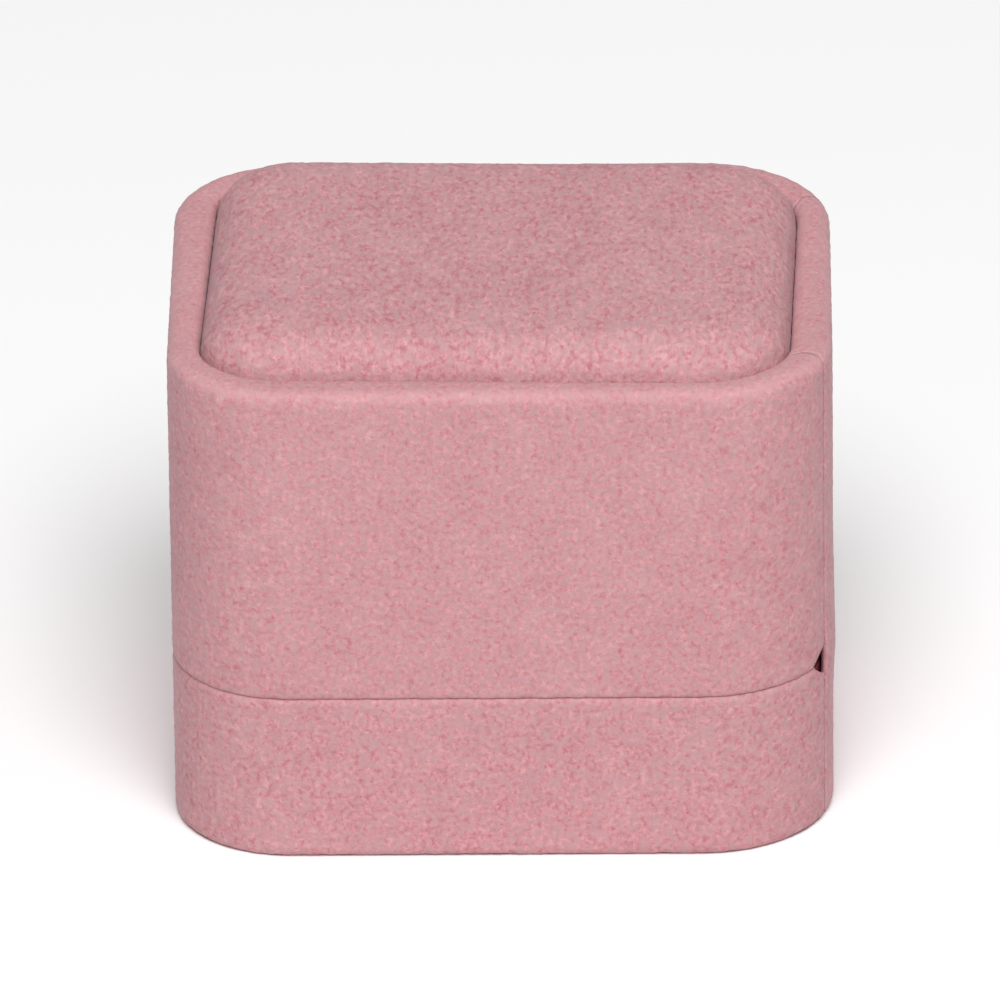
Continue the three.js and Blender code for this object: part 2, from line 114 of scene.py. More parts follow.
SEAM_PLAY = 0.04 * MM  # the cut edges at a seam, each to the middle of it
SKEW = radians(-1.7)  # the recess and its panel sit a little askew on the lid


HALF_TURN = pi / 2  # each fold and each corner is a right angle
SKEW_START = 1.6 * MM  # insets between which the skew grows from none to all of it
SKEW_FULL = 3.0 * MM
# Painted highlight on the upward faces of the folds near the rim and the split, partly standing for the pile
# parting at a fold:
FOLD_HIGHLIGHT_NORMAL = 0.7  # upward lean of the face where the painted highlight is strongest
FOLD_HIGHLIGHT_REACH = 0.45


# ---------- Mesh tools ----------


def finish_piece(name, mesh, material, smooth=True):
    """Makes an object of a bmesh, in place, with its one material."""
    data = bpy.data.meshes.new(name)
    mesh.to_mesh(data)
    mesh.free()
    piece = bpy.data.objects.new(name, data)
    bpy.context.collection.objects.link(piece)
    data.materials.append(material)
    data.polygons.foreach_set("use_smooth", [smooth] * len(data.polygons))
    return piece


def apply_modifiers(piece):
    """Bakes a piece's modifiers into its mesh."""
    bpy.context.view_layer.update()
    seen = piece.evaluated_get(bpy.context.evaluated_depsgraph_get())
    data = bpy.data.meshes.new_from_object(seen)
    piece.modifiers.clear()
    old, piece.data = piece.data, data
    data.name = piece.name
    bpy.data.meshes.remove(old)
    data.polygons.foreach_set("use_smooth", [True] * len(data.polygons))


class Drawing:
    """Pulls a front of points or edges along a path, and leaves edges or faces behind it."""

    def __init__(self, mesh, front, at, heading, axis, step):
        self.mesh = mesh
        self.front = front
        self.at = Vector(at)
        self.heading = Vector(heading).normalized()
        self.axis = Vector(axis)
        self.step = step

    def _pull(self, length, centre, angle, shift):
        count = max(1, ceil(length / self.step))
        made = bmesh.ops.spin(
            self.mesh,
            geom=self.front,
            cent=centre,
            axis=self.axis,
            dvec=shift / count,
            angle=angle,
            steps=count,
            use_merge=False,
            use_duplicate=False,
        )
        self.front = made["geom_last"]

    def ahead(self, length):
        self._pull(length, self.at, 0.0, self.heading * length)
        self.at += self.heading * length
        return self

    def turn(self, radius, angle):
        """Turns on an arc, to the left of the heading about the axis when angle is above 0."""
        side = self.axis.cross(self.heading) * (radius if angle > 0 else -radius)
        centre = self.at + side
        self._pull(radius * abs(angle), centre, angle, Vector((0, 0, 0)))
        spun = Matrix.Rotation(angle, 3, self.axis)
        self.at = centre + spun @ (self.at - centre)
        self.heading = spun @ self.heading
        return self


def draw_section(inset, z, heading, step):
    """Starts a cover's section where the right hinge corner begins, inset from the outside."""
    mesh = bmesh.new()
    start = Vector((HALF_WIDTH - inset, BACK - HINGE_CORNER, z))
    first = mesh.verts.new(start)
    return Drawing(mesh, [first], start, heading, (0, -1, 0), step)


def face_outwards(mesh):
    """Turns an open cover's faces away from the upright axis of the box."""
    bmesh.ops.recalc_face_normals(mesh, faces=mesh.faces)
    flow = 0.0
    for face in mesh.faces:
        middle = face.calc_center_median()
        flow += face.normal.dot(Vector((middle.x, middle.y, 0))) * face.calc_area()
    if flow < 0:
        bmesh.ops.reverse_faces(mesh, faces=mesh.faces)


def raise_pile(mesh, height=PILE, size=PILE_SIZE, seed=0):
    """Pushes the tufts of a velvet face in and out along its normals."""
    mesh.normal_update()
    shift = Vector((seed * 17.3, seed * 5.1, seed * 9.7))
    for vert in mesh.verts:
        tuft = noise.fractal(vert.co / size + shift, 0.8, 2.1, 2)
        vert.co += vert.normal * tuft * height


def tuck_seams(mesh):
    """Rolls the cut edges in at the upright seams."""
    mesh.normal_update()
    for vert in mesh.verts:
        off = abs(abs(vert.co.x) - SEAM_X) / SEAM_ROLL
        if off < 1 and vert.co.y > 0:
            level = abs(vert.normal.z)
            vert.co -= vert.normal * SEAM_DEPTH * (1 - level) * (1 - off) ** 2


def mark_insets(mesh):
    """Notes on a section how far in from the outside each of its points is."""
    inset = mesh.verts.layers.float.new("inset")
    for vert in mesh.verts:
        vert[inset] = HALF_WIDTH - vert.co.x


def skew_opening(mesh):
    """Turns the recess's sides by the skew, and leaves the outside as it is."""
    inset = mesh.verts.layers.float["inset"]
    for vert in mesh.verts:
        if vert.co.z > PANEL_SEAT:
            share = min(1, max(0, (vert[inset] - SKEW_START) / (SKEW_FULL - SKEW_START)))
            eased = share * share * (3 - 2 * share)
            vert.co = Matrix.Rotation(SKEW * eased, 3, "Z") @ vert.co


def mark_fold_highlights(mesh):
    """Marks the outer folds, on their upward-leaning faces, for a painted highlight in the velvet's colour;
    it partly stands for the pile parting at a fold.
    """
    mesh.normal_update()
    fold = mesh.verts.layers.float.new("fold")
    for vert in mesh.verts:
        near = any(-1.6 * MM < vert.co.z - edge < 0.1 * MM for edge in (RIM, SPLIT))
        if near:
            vert[fold] = max(0, 1 - abs(vert.normal.z - FOLD_HIGHLIGHT_NORMAL) / FOLD_HIGHLIGHT_REACH)


# ---------- Velvet over the shells ----------

def seam_angle(gap):
    """The seam's place on the hinge corner, as an angle from straight back."""
    return asin((SEAM_X + gap - HALF_WIDTH + HINGE_CORNER) / HINGE_CORNER)


def sweep_side(drawing, gap):
    """Sweeps a section from the right seam round the front to the left seam."""
    mesh = drawing.mesh
    mark_insets(mesh)
    corner = Vector((HALF_WIDTH - HINGE_CORNER, BACK - HINGE_CORNER, 0))
    stretch = pi / 2 - seam_angle(gap)
    turn_back = Matrix.Rotation(stretch, 3, "Z")
    bmesh.ops.rotate(mesh, verts=mesh.verts, cent=corner, matrix=turn_back)
    start = corner + turn_back @ Vector((HINGE_CORNER, 0, 0))
    heading = turn_back @ Vector((0, -1, 0))
    way = Drawing(mesh, mesh.verts[:] + mesh.edges[:], start, heading, UP, WEAVE)
    way.turn(HINGE_CORNER, -stretch)
    way.ahead(BACK - FRONT - HINGE_CORNER - FRONT_CORNER)
    way.turn(FRONT_CORNER, -HALF_TURN)
    way.ahead(2 * (HALF_WIDTH - FRONT_CORNER))
    way.turn(FRONT_CORNER, -HALF_TURN)
    way.ahead(BACK - FRONT - HINGE_CORNER - FRONT_CORNER)
    way.turn(HINGE_CORNER, -stretch)
    return mesh


def sweep_spine(drawing, gap):
    """Sweeps a section from the right seam across the hinge side to the left seam."""
    mesh = drawing.mesh
    mark_insets(mesh)
    corner = Vector((HALF_WIDTH - HINGE_CORNER, BACK - HINGE_CORNER, 0))
    stretch = seam_angle(-gap)
    turn_back = Matrix.Rotation(pi / 2 - stretch, 3, "Z")
    bmesh.ops.rotate(mesh, verts=mesh.verts, cent=corner, matrix=turn_back)
    start = corner + turn_back @ Vector((HINGE_CORNER, 0, 0))
    heading = turn_back @ Vector((0, 1, 0))
    way = Drawing(mesh, mesh.verts[:] + mesh.edges[:], start, heading, UP, WEAVE)
    way.turn(HINGE_CORNER, stretch)
    way.ahead(2 * (HALF_WIDTH - HINGE_CORNER))
    way.turn(HINGE_CORNER, stretch)
    return mesh


def cut_groove(mesh, side):
    """Cuts the relief groove's face through the cover: side is 1 for the lid, -1 for the base."""
    normal = Vector((0, sin(GROOVE_HALF_ANGLE), -side * cos(GROOVE_HALF_ANGLE)))
    bmesh.ops.bisect_plane(
        mesh,
        geom=mesh.verts[:] + mesh.edges[:] + mesh.faces[:],
        plane_co=HINGE,
        plane_no=normal,
        clear_outer=True,
    )


def thicken(piece, thickness=CLOTH):
    solid = piece.modifiers.new("cloth", "SOLIDIFY")
    solid.thickness = thickness
    solid.offset = -1
    apply_modifiers(piece)


def rim_section():
    """The lid's section from the hem in the panel's recess up, over the rim and outwards."""
    floor = PANEL_SEAT + CLOTH
    section = draw_section(RIM_WIDTH + RECESS_HEM, floor, (1, 0, 0), WEAVE)
    section.ahead(RECESS_HEM - RECESS_TURN)
    section.turn(RECESS_TURN, HALF_TURN)
    section.ahead(RIM - RIM_INNER_EDGE - RECESS_TURN - floor)
    section.turn(RIM_INNER_EDGE, -HALF_TURN)
    section.ahead(RIM_WIDTH - RIM_INNER_EDGE - RIM_OUTER_EDGE)
    section.turn(RIM_OUTER_EDGE, -HALF_TURN)
    return section


def finish_velvet(mesh, seed):
    face_outwards(mesh)
    skew_opening(mesh)
    # marks where the painted highlight goes on the folds
    mark_fold_highlights(mesh)
    raise_pile(mesh, seed=seed)
    tuck_seams(mesh)
    return mesh


def lid_side_cover():
    lip = SPLIT - LIP_MESH
    section = rim_section()
    section.ahead(RIM - RIM_OUTER_EDGE - lip - LID_LIP_EDGE)
    section.turn(LID_LIP_EDGE, -HALF_TURN)
    section.ahead(RIM_WIDTH - LID_LIP_EDGE - LIP_INNER_EDGE)
    section.turn(LIP_INNER_EDGE, -HALF_TURN)
    section.ahead(LID_FOLD)
    mesh = sweep_side(section, SEAM_PLAY)
    cut_groove(mesh, 1)
    return finish_velvet(mesh, 1)


def base_side_cover():
    lip, foot = SPLIT + LIP_MESH, FOOT - FOOT_PILE
    section = draw_section(RIM_WIDTH, lip - LIP_INNER_EDGE - BASE_FOLD, UP, WEAVE)
    section.ahead(BASE_FOLD)
    section.turn(LIP_INNER_EDGE, -HALF_TURN)
    section.ahead(RIM_WIDTH - LIP_INNER_EDGE - BASE_LIP_EDGE)
    section.turn(BASE_LIP_EDGE, -HALF_TURN)
    section.ahead(lip - BASE_LIP_EDGE - foot - FOOT_EDGE)
    section.turn(FOOT_EDGE, -HALF_TURN)
    section.ahead(RIM_WIDTH - FOOT_EDGE)
    mesh = sweep_side(section, SEAM_PLAY)
    cut_groove(mesh, -1)
    return finish_velvet(mesh, 2)


FOLD_HALF_HEIGHT = (BACK - HINGE.y) * tan(GROOVE_HALF_ANGLE)
FOLD_BULGE = 0.2 * MM


def spine_cover():
    """One cloth from the lid's rim, down over the hinge, to under the foot."""
    foot = FOOT - FOOT_PILE
    section = rim_section()
    section.ahead(RIM - RIM_OUTER_EDGE - foot - FOOT_EDGE)
    section.turn(FOOT_EDGE, -HALF_TURN)
    section.ahead(RIM_WIDTH - FOOT_EDGE)
    mesh = finish_velvet(sweep_spine(section, SEAM_PLAY), 3)
    mesh.normal_update()
    for vert in mesh.verts:
        reach = abs(vert.co.z - HINGE.z) / (2 * FOLD_HALF_HEIGHT)
        if reach < 1:
            vert.co += vert.normal * FOLD_BULGE * cos(reach * pi / 2) ** 2
    return mesh


# ---------- Soft blocks ----------

ROUND = 12  # facets on a rounded corner


def add_plate(mesh, low, high, corners):
    """Adds a level face at the height of low, with its front and back corners rounded."""
    size = high - low
    points = bmesh.ops.create_grid(mesh, x_segments=1, y_segments=1, size=0.5)["verts"]
    bmesh.ops.scale(mesh, vec=(size.x, size.y, 1), verts=points)
    bmesh.ops.translate(mesh, vec=low + Vector((size.x, size.y, 0)) / 2, verts=points)
    middle = (low.y + high.y) / 2
    front = [v for v in points if v.co.y < middle]
    back = [v for v in points if v.co.y > middle]
    for points, radius in zip((front, back), corners):
        bmesh.ops.bevel(
            mesh,
            geom=points,
            offset=radius,
            offset_type="OFFSET",
            segments=ROUND,
            profile=0.5,
            affect="VERTICES",
            material=-1,
            clamp_overlap=False,
        )


def crowned_block(low, high, corners, reach, rise, scale=1.0):
    """A block with rounded upright corners, whose top edge is a quarter oval, reach by rise."""
    low, high = Vector(low) * scale, Vector(high) * scale
    reach, rise = reach * scale, rise * scale
    mesh = bmesh.new()
    add_plate(mesh, low, high, [radius * scale for radius in corners])
    raised = bmesh.ops.extrude_face_region(mesh, geom=mesh.faces[:])["geom"]
    top = [g for g in raised if isinstance(g, bmesh.types.BMFace)]
    lifted = [g for g in raised if isinstance(g, bmesh.types.BMVert)]
    bmesh.ops.translate(mesh, vec=(0, 0, high.z - rise - low.z), verts=lifted)
    for number in range(ROUND):
        before, after = (pi / 2 * step / ROUND for step in (number, number + 1))
        bmesh.ops.inset_region(
            mesh,
            faces=top,
            thickness=reach * (cos(before) - cos(after)),
            depth=rise * (sin(after) - sin(before)),
            use_even_offset=True,
            use_boundary=True,
        )
    bmesh.ops.recalc_face_normals(mesh, faces=mesh.faces)
    return mesh


def corners_at(inset):
    """The front and hinge corners' radii, that far in from the outside."""
    return FRONT_CORNER - inset, HINGE_CORNER - inset


def remesh(piece, voxel):
    voxels = piece.modifiers.new("voxels", "REMESH")
    voxels.mode = "VOXEL"
    voxels.voxel_size = voxel
    apply_modifiers(piece)


def subdivide(piece):
    finer = piece.modifiers.new("finer", "SUBSURF")
    finer.levels = finer.render_levels = 1
    apply_modifiers(piece)


def rework(piece, change):
    """Runs a change on a piece's mesh as a bmesh."""
    mesh = bmesh.new()
    mesh.from_mesh(piece.data)
    change(mesh)
    mesh.to_mesh(piece.data)
    mesh.free()


SIM_SCALE = 20  # cloth and voxels behave better at the size of a seat cushion
SIM_FRAMES = 20
SIM_PRESSURE = 4


def bring_to_size(piece):
    """Shrinks a piece that was built SIM_SCALE times over."""
    piece.data.transform(Matrix.Scale(1 / SIM_SCALE, 4))


def turn_over(piece, low, high):
    """Turns a piece upside down in the space from low to high."""
    middle = (low.z + high.z) / 2 * UP
    half_turn = Matrix.Rotation(pi, 4, "Y")
    piece.data.transform(Matrix.Translation(middle) @ half_turn @ Matrix.Translation(-middle))


def swell(piece, held_below, rise):
    """Blows a cover up as cloth glued along its foot, and keeps that shape at a crown of rise."""
    before = [v.co.copy() for v in piece.data.vertices]
    normals = [v.normal.copy() for v in piece.data.vertices]
    glued = piece.vertex_groups.new(name="glued")
    glued.add([v.index for v in piece.data.vertices if v.co.z < held_below], 1.0, "REPLACE")
    cloth = piece.modifiers.new("cover", "CLOTH")
    cloth.settings.vertex_group_mass = "glued"
    cloth.settings.use_pressure = True
    cloth.settings.uniform_pressure_force = SIM_PRESSURE
    cloth.settings.effector_weights.gravity = 0
    for number in range(1, SIM_FRAMES + 1):
        bpy.context.scene.frame_set(number)
    seen = piece.evaluated_get(bpy.context.evaluated_depsgraph_get())
    after = [v.co.copy() for v in seen.data.vertices]
    piece.modifiers.clear()
    piece.vertex_groups.clear()
    bpy.context.scene.frame_set(1)
    moves = [max(0, (new - old).dot(out)) for old, new, out in zip(before, after, normals)]
    share = min(1, rise / max(moves))
    for vert, old, out, move in zip(piece.data.vertices, before, normals, moves):
        vert.co = old + out * move * share


def padded_cover(name, material, form, held, rise, voxel):
    """A pad's cover: a form built SIM_SCALE times over, swollen as cloth and brought to size."""
    piece = finish_piece(name, form, material)
    remesh(piece, voxel * SIM_SCALE)
    swell(piece, held * SIM_SCALE, rise * SIM_SCALE)
    bring_to_size(piece)
    subdivide(piece)
    return piece


# ---------- Materials ----------


class Finish:
    """A material under construction: its nodes, and its one shader."""

    def __init__(self, name, **constants):
        self.material = bpy.data.materials.new(name)
        self.material.use_nodes = True
        self.tree = self.material.node_tree
        self.shader = self.tree.nodes["Principled BSDF"]
        for socket, value in constants.items():
            self.shader.inputs[socket.replace("_", " ")].default_value = value
        self.place = self.tree.nodes.new("ShaderNodeTexCoord").outputs["Object"]

    def node(self, kind, inputs=(), **settings):
        made = self.tree.nodes.new("ShaderNode" + kind)
        for key, value in settings.items():
            setattr(made, key, value)
        for socket, value in dict(inputs).items():
            if isinstance(value, bpy.types.NodeSocket):
                self.tree.links.new(value, made.inputs[socket])
            else:
                made.inputs[socket].default_value = value
        return made

    def shifted(self, seed, stretch=(1, 1, 1)):
        """The place on the piece, moved so that no two pieces share a pattern."""
        shift = (seed * 0.37, seed * 0.21, seed * 0.13)
        moved = {"Vector": self.place, "Location": shift, "Scale": stretch}
        return self.node("Mapping", moved).outputs["Vector"]

    def noise(self, place, size, detail=3.0, roughness=0.55, distortion=0.0):
        """Noise whose grain is about that size, in metres."""
        made = self.node(
            "TexNoise",
            {
                "Vector": place,
                "Scale": 1 / size,
                "Detail": detail,
                "Roughness": roughness,
                "Distortion": distortion,
            },
        )
        return made.outputs["Fac"]

    def between(self, value, low, high, to_low=0.0, to_high=1.0):
        source = {"Value": value, "From Min": low, "From Max": high}
        target = {"To Min": to_low, "To Max": to_high}
        return self.node("MapRange", source | target).outputs["Result"]

    def blend(self, share, first, second):
        """Mixes two colours: sockets, or linear colours."""
        made = self.node("Mix", data_type="RGBA")
        for index, value in ((0, share), (6, first), (7, second)):
            if isinstance(value, bpy.types.NodeSocket):
                self.tree.links.new(value, made.inputs[index])
            else:
                made.inputs[index].default_value = (*value, 1) if index else value
        return made.outputs[2]

    def ramp(self, value, stops):
        """A colour from a value, through stops of place and linear colour."""
        made = self.node("ValToRGB", {"Fac": value})
        elements = made.color_ramp.elements
        while len(elements) < len(stops):
            elements.new(0.5)
        for element, (place, colour) in zip(elements, stops):
            element.position = place
            element.color = (*colour, 1)
        return made.outputs["Color"]

    def add(self, first, second, share):
        """first plus share of second."""
        made = self.node("Math", {0: second, 1: share, 2: first}, operation="MULTIPLY_ADD")
        return made.outputs[0]

    def bump(self, height, distance, strength=1.0):
        made = self.node("Bump", {"Height": height, "Distance": distance, "Strength": strength})
        self.tree.links.new(made.outputs["Normal"], self.shader.inputs["Normal"])

    def set(self, socket, value):
        self.tree.links.new(value, self.shader.inputs[socket])


VELVET_DEEP = (0.470, 0.176, 0.206)
VELVET_BODY = (0.588, 0.266, 0.288)
VELVET_LIGHT = (0.648, 0.360, 0.376)
VELVET_GREYED = (0.500, 0.296, 0.314)
TONE_MEAN = 0.945  # of the summed grain
TONE_SPREAD = 0.27  # how far it strays from its mean


def velvet(name, seed, contrast=1.0, lie=(1, 1, 1)):
    """Short-napped velvet: tufts under a millimetre, and wider patches where the nap lies over."""
    made = Finish(
        name,
        Roughness=0.9,
        Sheen_Weight=0.13,
        Sheen_Roughness=0.4,
        Sheen_Tint=(0.9, 0.95, 1.0, 1),
        Specular_IOR_Level=0.15,
    )
    place = made.shifted(seed, lie)
    tufts = made.noise(place, 0.5 * MM, 2, 0.55, 0.25)
    fibres = made.noise(made.shifted(seed + 1, lie), 0.2 * MM, 2, 0.6)
    patches = made.noise(place, 2.4 * MM, 3, 0.5)
    sweeps = made.noise(made.shifted(seed + 2), 14 * MM, 2, 0.5)
    grain = made.add(tufts, fibres, 0.35)
    tone = made.add(made.add(grain, patches, 0.34), sweeps, 0.2)
    spread = TONE_SPREAD / contrast
    body = made.ramp(
        made.between(tone, TONE_MEAN - spread, TONE_MEAN + spread),
        ((0.0, VELVET_DEEP), (0.5, VELVET_BODY), (1.0, VELVET_LIGHT)),
    )
    hue = made.noise(made.shifted(seed + 3, lie), 0.7 * MM, 3, 0.6)
    body = made.blend(made.between(hue, 0.38, 0.68), body, VELVET_GREYED)
    # Painted highlight: the upward faces of the folds are lightened towards VELVET_LIGHT, partly standing
    # for the pile parting at a fold.
    fold = made.node("Attribute", attribute_name="fold").outputs["Fac"]
    body = made.blend(made.between(fold, 0, 1, 0, 0.35), body, VELVET_LIGHT)
    made.set("Base Color", body)
    made.bump(grain, 0.12 * MM, 0.75)
    return made.material


def satin(name, seed):
    made = Finish(
        name,
        Roughness=0.42,
        Sheen_Weight=0.3,
        Sheen_Roughness=0.3,
        Specular_IOR_Level=0.5,
        Anisotropic=0.4,
    )
    threads = made.noise(made.shifted(seed, (1, 1, 0.08)), 0.12 * MM, 2, 0.5)
    cloud = made.noise(made.shifted(seed), 6 * MM, 2, 0.5)
    tone = made.add(threads, cloud, 0.5)
    share = made.between(tone, 0.55, 0.95)
    made.set("Base Color", made.blend(share, (0.60, 0.34, 0.36), (0.80, 0.53, 0.54)))
    made.bump(threads, 0.03 * MM, 0.5)
    return made.material


def moulded_plastic(name):
    made = Finish(name, Roughness=0.5, Specular_IOR_Level=0.45)
    place = made.shifted(3)
    cloud = made.noise(place, 5 * MM, 3)
    grain = made.noise(place, 0.15 * MM, 2)
    share = made.between(cloud, 0.35, 0.7)
    made.set("Base Color", made.blend(share, (0.20, 0.034, 0.052), (0.26, 0.048, 0.070)))
    made.set("Roughness", made.between(grain, 0.3, 0.7, 0.42, 0.62))
    made.bump(grain, 0.02 * MM, 0.5)
    return made.material


def grey_board(name):
    made = Finish(name, Roughness=0.9, Specular_IOR_Level=0.2)
    place = made.shifted(5, (1, 0.4, 1))
    pulp = made.noise(place, 0.5 * MM, 4, 0.7)
    fleck = made.noise(made.shifted(6), 0.25 * MM, 2, 0.5)
    base = made.blend(made.between(pulp, 0.35, 0.7), (0.25, 0.215, 0.18), (0.38, 0.34, 0.29))
    made.set("Base Color", made.blend(made.between(fleck, 0.68, 0.74), base, (0.12, 0.1, 0.085)))
    made.bump(pulp, 0.05 * MM, 0.6)
    return made.material


def flock(name):
    made = Finish(
        name, Roughness=0.95, Sheen_Weight=0.3, Sheen_Roughness=0.5, Specular_IOR_Level=0.1
    )
    fuzz = made.noise(made.shifted(8), 0.25 * MM, 3, 0.7)
    share = made.between(fuzz, 0.35, 0.65)
    made.set("Base Color", made.blend(share, (0.40, 0.15, 0.17), (0.56, 0.25, 0.27)))
    made.bump(fuzz, 0.08 * MM, 0.8)
    return made.material


def rolled_steel(name):
    made = Finish(name, Metallic=1.0, Roughness=0.28, Anisotropic=0.5)
    brush = made.noise(made.shifted(9, (0.05, 1, 1)), 0.08 * MM, 3, 0.6)
    smear = made.noise(made.shifted(10), 2.5 * MM, 3, 0.6)
    share = made.between(smear, 0.35, 0.7)
    made.set("Base Color", made.blend(share, (0.56, 0.56, 0.58), (0.70, 0.70, 0.71)))
    made.set("Roughness", made.between(brush, 0.3, 0.7, 0.2, 0.42))
    made.bump(brush, 0.01 * MM, 0.4)
    return made.material


# ---------- Covering the box ----------


def cover(piece, nodes, body):
    """Puts a finished piece on its body, in place of the nodes that it stands for."""
    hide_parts(*nodes)
    if body:
        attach(piece, body)
    return piece


def make_covers():
    lid = finish_piece("lid_side_cover", lid_side_cover(), velvet("lid_velvet", 1, 1.15))
    thicken(lid)
    cover(lid, ["lid_side_velvet"], "lid")
    base = finish_piece("base_side_cover", base_side_cover(), velvet("base_velvet", 2, 1.35))
    thicken(base)
    cover(base, ["base_side_velvet"], "base")
    spine = finish_piece("spine_cover", spine_cover(), velvet("spine_velvet", 3, 1.15))
    thicken(spine)
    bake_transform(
        spine,
        "base",
        "lid",
        start=(0, BACK, HINGE.z - FOLD_HALF_HEIGHT),
        end=(0, BACK, HINGE.z + FOLD_HALF_HEIGHT),
    )
    cover(spine, ["lid_spine_velvet", "spine_fold", "base_spine_velvet"], None)


PANEL_SWELL = 0.3 * MM
PANEL_EDGE = side_high.x - panel_high.x
PANEL_REACH = 4.8 * MM
PANEL_RISE = 4.3 * MM
PANEL_SINK = 0.35 * MM  # the crown settles that far below the frame's
PANEL_SPREAD = 0.22 * MM  # the soft edge presses out to the sides of its recess
PANEL_GLUED = 0.6 * MM  # below the rim
PANEL_VOXEL = 0.7 * MM


def make_top_panel():
    spread = Vector((PANEL_SPREAD, PANEL_SPREAD, 0))
    low = panel_low - spread + CLOTH * UP
    high = panel_high + spread - (PANEL_SWELL + PANEL_SINK) * UP
    corners = corners_at(PANEL_EDGE)
    form = crowned_block(low, high, corners, PANEL_REACH, PANEL_RISE, SIM_SCALE)
    finish = velvet("panel_velvet", 4, 1.6, (0.6, 1, 1))
    held = RIM - PANEL_GLUED
    pad = padded_cover("top_panel", finish, form, held, PANEL_SWELL, PANEL_VOXEL)
    pad.data.transform(Matrix.Rotation(SKEW, 4, "Z"))
    rework(pad, lambda mesh: raise_pile(mesh, seed=4))
    cover(pad, ["top_panel_velvet", "top_panel_foam"], "lid")


# ---------- Inside ----------

BAR_END = 1.5 * MM
BAR_SWELL = 0.2 * MM
BAR_VOXEL = 0.55 * MM
BAR_FOOT = 0.5 * MM
BAR_TOP_FLAT = 0.05 * MM  # left each side of the middle, between the two quarter rounds


def bar_form(low, high):
    """Half a bar, standing on its middle with a round end up, mirrored and laid along X."""
    corners = (BAR_FOOT, (high.y - low.y) / 2 - BAR_TOP_FLAT)
    start, end = (low.y, low.z, 0), (high.y, high.z, high.x)
    mesh = crowned_block(start, end, corners, BAR_END, BAR_END, SIM_SCALE)
    inner_end = [face for face in mesh.faces if abs(face.calc_center_median().z) < 1e-6]
    bmesh.ops.delete(mesh, geom=inner_end, context="FACES_ONLY")
    whole = mesh.verts[:] + mesh.edges[:] + mesh.faces[:]
    bmesh.ops.mirror(mesh, geom=whole, axis="Z", merge_dist=1e-4)
    laid = Matrix(((0, 0, 1), (1, 0, 0), (0, 1, 0)))
    bmesh.ops.transform(mesh, matrix=laid.to_4x4(), verts=mesh.verts)
    bmesh.ops.recalc_face_normals(mesh, faces=mesh.faces)
    return mesh


def make_ring_bars(deck_top):
    for seed, place in ((6, "front"), (7, "rear")):
        nodes = ["ring_bar_velvet_" + place, "ring_bar_foam_" + place]
        finish = velvet("bar_velvet_" + place, seed, 1.3)
        form = bar_form(*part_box(nodes[0]))
        bar = padded_cover("ring_bar_" + place, finish, form, deck_top, BAR_SWELL, BAR_VOXEL)
        rework(bar, lambda mesh: raise_pile(mesh, seed=seed))
        cover(bar, nodes, "base")


WINDOW_PLAY = 0.3 * MM  # round the bars
DECK_SKIRT = 1.6 * MM  # the cloth turned down into the window
NOTCH_HALF = 2.4 * MM  # the deck clears the spring
NOTCH_DEPTH = 1.7 * MM
WINDOW_CORNER = 0.5 * MM
DECK_VOXEL = 0.24 * MM


def cut_notch(mesh, back):
    """Cuts the spring's notch into the back edge of a flat sheet."""
    front = back - NOTCH_DEPTH
    for place, normal in (
        (Vector((-NOTCH_HALF, 0, 0)), (1, 0, 0)),
        (Vector((NOTCH_HALF, 0, 0)), (1, 0, 0)),
        (Vector((0, front, 0)), (0, 1, 0)),
    ):
        whole = mesh.verts[:] + mesh.edges[:] + mesh.faces[:]
        bmesh.ops.bisect_plane(mesh, geom=whole, plane_co=place, plane_no=normal)
    notch = []
    for face in mesh.faces:
        middle = face.calc_center_median()
        if abs(middle.x) < NOTCH_HALF and middle.y > front:
            notch.append(face)
    bmesh.ops.delete(mesh, geom=notch, context="FACES")


def deck_form(low, high, window, inset):
    """The deck's flat cloth round the window of the bars, turned down at the window's edges."""
    mesh = bmesh.new()
    top = high.z * UP
    flat_low, flat_high = Vector((low.x, low.y, 0)) + top, Vector((high.x, high.y, 0)) + top
    add_plate(mesh, flat_low, flat_high, corners_at(inset))
    add_plate(mesh, top - window, top + window, (WINDOW_CORNER, WINDOW_CORNER))
    bmesh.ops.delete(mesh, geom=mesh.faces[:], context="FACES_ONLY")
    bmesh.ops.bridge_loops(mesh, edges=mesh.edges[:])
    bmesh.ops.recalc_face_normals(mesh, faces=mesh.faces)
    if mesh.faces[0].normal.z < 0:
        bmesh.ops.reverse_faces(mesh, faces=mesh.faces[:])
    cut_notch(mesh, high.y)
    within = window + Vector((1, 1, 0)) * 0.01 * MM
    inside = {v for v in mesh.verts if abs(v.co.x) < within.x and abs(v.co.y) < within.y}
    edge = [e for e in mesh.edges if e.is_boundary and inside.issuperset(e.verts)]
    skirt = bmesh.ops.extrude_edge_only(mesh, edges=edge)["geom"]
    lowered = [g for g in skirt if isinstance(g, bmesh.types.BMVert)]
    bmesh.ops.translate(mesh, vec=-DECK_SKIRT * UP, verts=lowered)
    return mesh


def make_deck():
    """Makes the deck's cloth, and returns the height of its top."""
    low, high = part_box("deck_velvet")
    bar_low, bar_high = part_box("ring_bar_velvet_front")
    window = Vector((bar_high.x + WINDOW_PLAY, -bar_low.y + WINDOW_PLAY, 0))
    form = deck_form(low, high, window, HALF_WIDTH - high.x)
    area = sum(face.calc_area() for face in form.faces)
    bmesh.ops.scale(form, vec=(SIM_SCALE, SIM_SCALE, SIM_SCALE), verts=form.verts)
    deck = finish_piece("deck_cloth", form, velvet("deck_velvet_finish", 5, 1.3))
    thicken(deck, CLOTH * SIM_SCALE)
    remesh(deck, DECK_VOXEL * SIM_SCALE)
    bring_to_size(deck)
    rework(deck, lambda mesh: raise_pile(mesh, seed=5))
    cover(deck, ["deck_velvet"], "base")
    return high.z


LINING = 0.9 * MM
LINING_EDGE = 0.4 * MM
SATIN = 0.25 * MM
LINING_WAVE = 0.1 * MM
LINING_PLEATS = Vector((1 / (3 * MM), 1 / (3 * MM), 1 / (25 * MM)))  # waves for each metre


